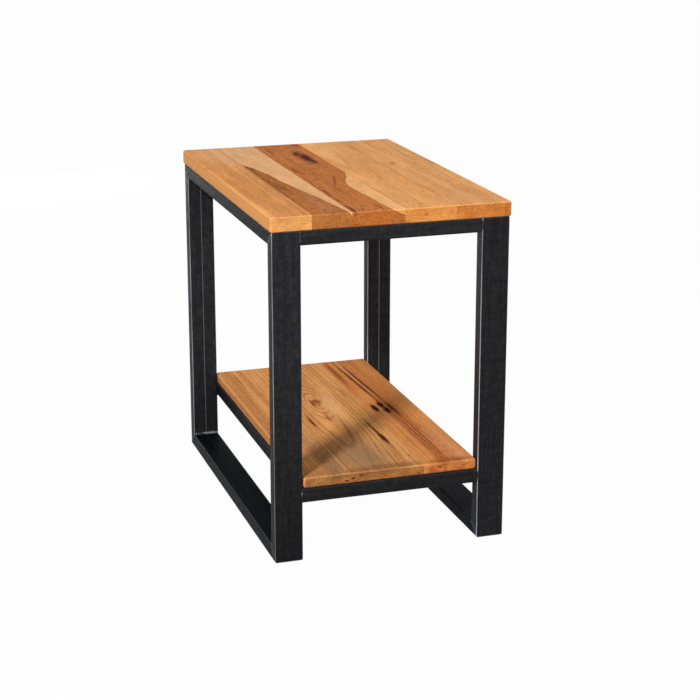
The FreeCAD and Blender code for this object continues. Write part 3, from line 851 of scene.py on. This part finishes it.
def weldLines():
    # where the beads lie, from the tubes that they join
    lines = {"left_loop_welds": [], "right_loop_welds": [], "top_rail_welds": [], "shelf_frame_welds": []}
    xAxis, yAxis, zAxis = Vector((1, 0, 0)), Vector((0, 1, 0)), Vector((0, 0, 1))
    inside = bead["tubeRound"] * mm
    for name, side in (("left", -1), ("right", 1)):
        low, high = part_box(f"{name}_back_leg")
        floorTop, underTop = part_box(f"{name}_runner")[1].z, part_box(f"{name}_top_rail")[0].z
        across = (high.x - low.x) - 2 * bead["endRoom"] * mm
        innerX = low.x if side > 0 else high.x
        for end in (-1, 1):
            for level, up in ((floorTop, zAxis), (underTop, -zAxis)):
                corner = Vector(((low.x + high.x) / 2, end * low.y, level))
                lines[f"{name}_loop_welds"].append(cornerBead(corner, xAxis, across, -end * yAxis, up))
            for welds, rail, sideRail in (
                ("top_rail_welds", "back_top_rail", None),
                ("shelf_frame_welds", "shelf_back_rail", f"shelf_{name}_rail"),
            ):
                railLow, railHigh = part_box(rail)
                middle = (railLow.z + railHigh.z) / 2
                run = railHigh.z - railLow.z - 2 * inside
                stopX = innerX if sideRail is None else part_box(sideRail)[0 if side > 0 else 1].x
                corner = Vector((stopX, end * railLow.y, middle))
                lines[welds].append(cornerBead(corner, zAxis, run, -side * xAxis, -end * yAxis))
                start = Vector((innerX, end * (railHigh.y - inside), middle))
                half = zAxis * run / 2
                lines[welds].append({
                    "ends": (start - half, start + half),
                    "toeA": end * yAxis * bead["grooveReach"] * mm,
                    "toeB": (end * yAxis * bead["grooveReach"] + side * xAxis * bead["grooveFill"]) * mm,
                    "bulge": end * yAxis * bead["grooveCrown"] * mm,
                })
    return lines


# the pale colour of each weld paints glints on the ripples' crests
rippledWeld = weldMaterial("powderCoatWeld", "#131316", "#aab4c2", 0.22)
dressedWeld = weldMaterial("powderCoatDressedWeld", "#131315", "#9fb2c6", 0.3)
groundWeld = weldMaterial("powderCoatGroundWeld", "#151516", "#545a64", 0.3)
weldCoats = {"top_rail_welds": groundWeld, "shelf_frame_welds": dressedWeld}
beadTree = weldTree(rippledWeld)
for node, lines in weldLines().items():
    values = {"material": weldCoats.get(node, rippledWeld)}
    grown(node.replace("_welds", "_beads"), beadLines(lines), beadTree, values, [node])
print("weld beads")

# Hex head wood screws, head down: row by row a turned profile, with a six-sided head and a thread
screw = {
    "acrossFlats": 7.9,
    "head": 3.4,
    "chamfer": 0.5,
    "shank": 4.2,
    "core": 0.7,  # share of the shank left under the thread
    "pitch": 1.8,
    "tip": 4,
    "headRows": 0.05,  # share of the rows that make the head
    "faceRows": (0.4, 0.6),  # share of those up to the rim of its face, and to the chamfer's end
    "face": 0.82,  # how far the flat of the head's face reaches
    "ridge": (0.1, 0.75),  # the thread's crest and its foot, in half pitches
    "columns": 37,
    "rows": 121,
    "seed": 3,
    "spangle": 0.9,
    "rough": (0.26, 0.44),
}


def screwTree(material):
    tree, given, add = newTree("woodScrew", {
        "acrossFlats": screw["acrossFlats"] * mm, "head": screw["head"] * mm, "shank": screw["shank"] * mm,
        "length": 20 * mm, "pitch": screw["pitch"] * mm, "seed": screw["seed"], "material": material})
    sheet = add("MeshGrid", {}, {
        "Size X": 1.0, "Size Y": 1.0, "Vertices X": screw["columns"], "Vertices Y": screw["rows"]})
    split = add("SeparateXYZ", {}, [add("InputPosition")])
    around = add("Math", "ADD", [split.outputs["X"], 0.5])
    up = add("Math", "ADD", [split.outputs["Y"], 0.5])
    angle = add("Math", "MULTIPLY", [around, 2 * math.pi])

    # the first rows are the head, from the middle of its face to its seat, and the rest the shank
    headRows, flare = screw["headRows"], screw["chamfer"] / screw["head"]
    faceRow, edgeRow = (headRows * share for share in screw["faceRows"])
    headHeight, headReach = (
        add("FloatCurve", {"curve": [(0, 0), (faceRow, face), (edgeRow, edge), (headRows, 1), (1, 1)]}, {
            "Value": up})
        for face, edge in ((0, flare), (screw["face"], 1)))
    onShank = add("Math", "GREATER_THAN", [up, headRows + 0.002])
    height = add("MapRange", {}, [up, headRows, 1.0, 0.0, given["length"]])
    below = add("Math", "SUBTRACT", [headHeight, 1.0])
    height = add("Math", "MULTIPLY_ADD", [below, given["head"], height])
    sector = add("Math", "FLOORED_MODULO", [angle, math.pi / 3])
    sector = add("Math", "SUBTRACT", [sector, math.pi / 6])
    flats = add("Math", "DIVIDE", [given["acrossFlats"], add("Math", "COSINE", [sector])])
    flats = add("Math", "MULTIPLY", [flats, 0.5])
    circle = add("Math", "MULTIPLY", [given["acrossFlats"], 1 / math.sqrt(3)])
    circle = add("Math", "MULTIPLY", [circle, headReach])
    headRadius = add("Math", "MINIMUM", [flats, circle])

    # thread
    turns = add("Math", "SUBTRACT", [add("Math", "DIVIDE", [height, given["pitch"]]), around])
    saw = add("Math", "MULTIPLY_ADD", [add("Math", "FRACT", [turns]), 2.0, -1.0])
    saw = add("Math", "ABSOLUTE", [saw])
    ridge = add("MapRange", smooth, [saw, *screw["ridge"], 1.0, screw["core"]])
    taper = add("Math", "SUBTRACT", [given["length"], height])
    taper = add("Math", "DIVIDE", [taper, screw["tip"] * mm])
    taper = add("Math", "MINIMUM", [taper, 1.0])
    shankRadius = ridge
    for share in (taper, given["shank"], 0.5):
        shankRadius = add("Math", "MULTIPLY", [shankRadius, share])

    radius = add("Mix", {"data_type": "FLOAT"}, {"Factor": onShank, "A": headRadius, "B": shankRadius})
    sideX, sideY = (
        add("Math", "MULTIPLY", [radius, add("Math", kind, [angle])]) for kind in ("COSINE", "SINE"))
    point = add("CombineXYZ", {}, [sideX, sideY, height])
    skin = add("SetPosition", {}, {"Geometry": sheet.outputs["Mesh"], "Position": point})
    skin = add("MergeByDistance", {}, {"Geometry": skin, "Distance": 0.005 * mm})
    skin = add("SetShadeSmooth", {}, {"Geometry": skin, "Shade Smooth": False})
    spin = add("FunctionNodeRandomValue", {"data_type": "FLOAT"}, {
        "Min": 0.0, "Max": 2 * math.pi, "Seed": given["seed"]})
    turned = add("CombineXYZ", {}, {"Z": spin})
    many = add("InstanceOnPoints", {}, {
        "Points": given["Geometry"], "Instance": skin, "Rotation": turned})
    endTree(add, many, given["material"])
    return tree


def zincMaterial():
    # zinc plated steel: pale grey with a faint warm cast, fine spangle, softly glossy
    material, add = newMaterial("zincPlate")
    place = add("TexCoord").outputs["Object"]
    spangle = add("TexNoise", {}, {
        "Vector": place, "Scale": 1 / (screw["spangle"] * mm), "Detail": 2})
    shade = add("Mix", blending, [spangle, srgb("#a9a79c"), srgb("#c4c2ba")])
    rough = add("MapRange", {}, [spangle, 0, 1, *screw["rough"]])
    skin = add("BsdfPrincipled", {}, {"Base Color": shade, "Roughness": rough, "Metallic": 1})
    add("OutputMaterial", {}, {"Surface": skin})
    return material


def screwSeats(node, count):
    # the heads bear on the inside of a rail's upper wall, evenly along each side of the node's box
    low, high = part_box(node)
    reach = screw["acrossFlats"] / math.sqrt(3) * mm
    seat = low.z + screw["head"] * mm
    flat = screw["acrossFlats"] / 2 * mm
    run = high.y - low.y - 2 * flat
    spots = [
        (side * (high.x - reach), low.y + flat + run * index / (count - 1), seat)
        for side in (-1, 1) for index in range(count)]
    mesh = bpy.data.meshes.new(node + "Seats")
    mesh.from_pydata(spots, [], [])
    return mesh, high.z - seat


zinc = zincMaterial()
hexScrew = screwTree(zinc)
for node, count in (("top_screws", 3), ("shelf_screws", 2)):
    seats, length = screwSeats(node, count)
    grown(node.replace("_screws", "_wood_screws"), seats, hexScrew,
          {"length": length, "material": zinc}, [node])
print("wood screws")

# Floor, light and camera
view = {
    "place": (-0.9360, -2.9863, 1.2173),
    "turn": 17.88,  # degrees, right of straight back
    "down": 15.48,
    "lens": 90.11,
    "sensor": 36,
    "shift": -0.06,  # the object hangs low in a square picture
}
light = {
    "world": 0.37,
    "whiteShare": 0.94,  # how much of the pale floor the camera sees as plain white
    "white": 1.04,
    "floorSize": 60,
    "floorDrop": 0.2 * mm,  # just under the runners, so that their undersides don't flicker
    "aim": (0, 0, 0.35),
    "boxes": {  # place, width and height, power
        "keyBox": ((-2.5, -2.7, 3.0), (0.55, 0.55), 178),
        "fillBox": ((0.6, -4.2, 1.3), (2.4, 1.6), 72),
        "sideBox": ((-2.6, 0.5, 0.6), (0.5, 1.2), 4),
        "backBox": ((0.0, 1.4, 1.5), (1.2, 0.5), 4.4),
        "rightBox": ((2.6, 0.3, 0.3), (1.2, 0.6), 13),
        "rearBox": ((-0.4, 3.2, 0.3), (1.2, 0.6), 19),
    },
}


def seenRays(add):
    # the rays that are to meet plain white
    path = add("LightPath").outputs
    seen = path["Is Camera Ray"]
    for kind in ("Is Glossy Ray", "Is Transmission Ray"):
        seen = add("Math", "MAXIMUM", [seen, path[kind]])
    return seen


floorMesh = bpy.data.meshes.new("floor")
half = light["floorSize"] / 2
around = ((-half, -half), (half, -half), (half, half), (-half, half))
floorMesh.from_pydata([(x, y, -light["floorDrop"]) for x, y in around], [], [(0, 1, 2, 3)])
floor = placed("floor", floorMesh)
paleFloor, add = newMaterial("paleFloor")
matte = add("BsdfDiffuse", {}, {"Color": srgb("#787776")})
white = add("Emission", {}, {"Color": (1, 1, 1, 1), "Strength": light["white"]})
share = add("Math", "MULTIPLY", [seenRays(add), light["whiteShare"]])
mixed = add("MixShader", {}, [share, matte, white])
add("OutputMaterial", {}, {"Surface": mixed})
floorMesh.materials.append(paleFloor)

world = bpy.data.worlds.new("studio")
world.use_nodes = True
world.node_tree.nodes.clear()
add = adder(world.node_tree)
soft = add("Background", {}, {"Color": (1, 1, 1, 1), "Strength": light["world"]})
white = add("Background", {}, {"Color": (1, 1, 1, 1), "Strength": 1})
mixed = add("MixShader", {}, [seenRays(add), soft, white])
add("OutputWorld", {}, {"Surface": mixed})
scene.world = world

for name, (place, (width, height), power) in light["boxes"].items():
    data = bpy.data.lights.new(name, "AREA")
    data.shape = "RECTANGLE"
    data.size, data.size_y, data.energy = width, height, power
    lamp = placed(name, data)
    lamp.location = place
    towards = Vector(light["aim"]) - Vector(place)
    lamp.rotation_euler = towards.to_track_quat("-Z", "Y").to_euler()
    lamp.visible_camera = False

camera = placed("camera", bpy.data.cameras.new("camera"))
camera.location = view["place"]
camera.rotation_euler = (math.radians(90 - view["down"]), 0, -math.radians(view["turn"]))
camera.data.lens = view["lens"]
camera.data.sensor_width = view["sensor"]
camera.data.shift_y = view["shift"]
scene.camera = camera
scene.view_settings.view_transform = "Standard"
print("floor, light and camera")
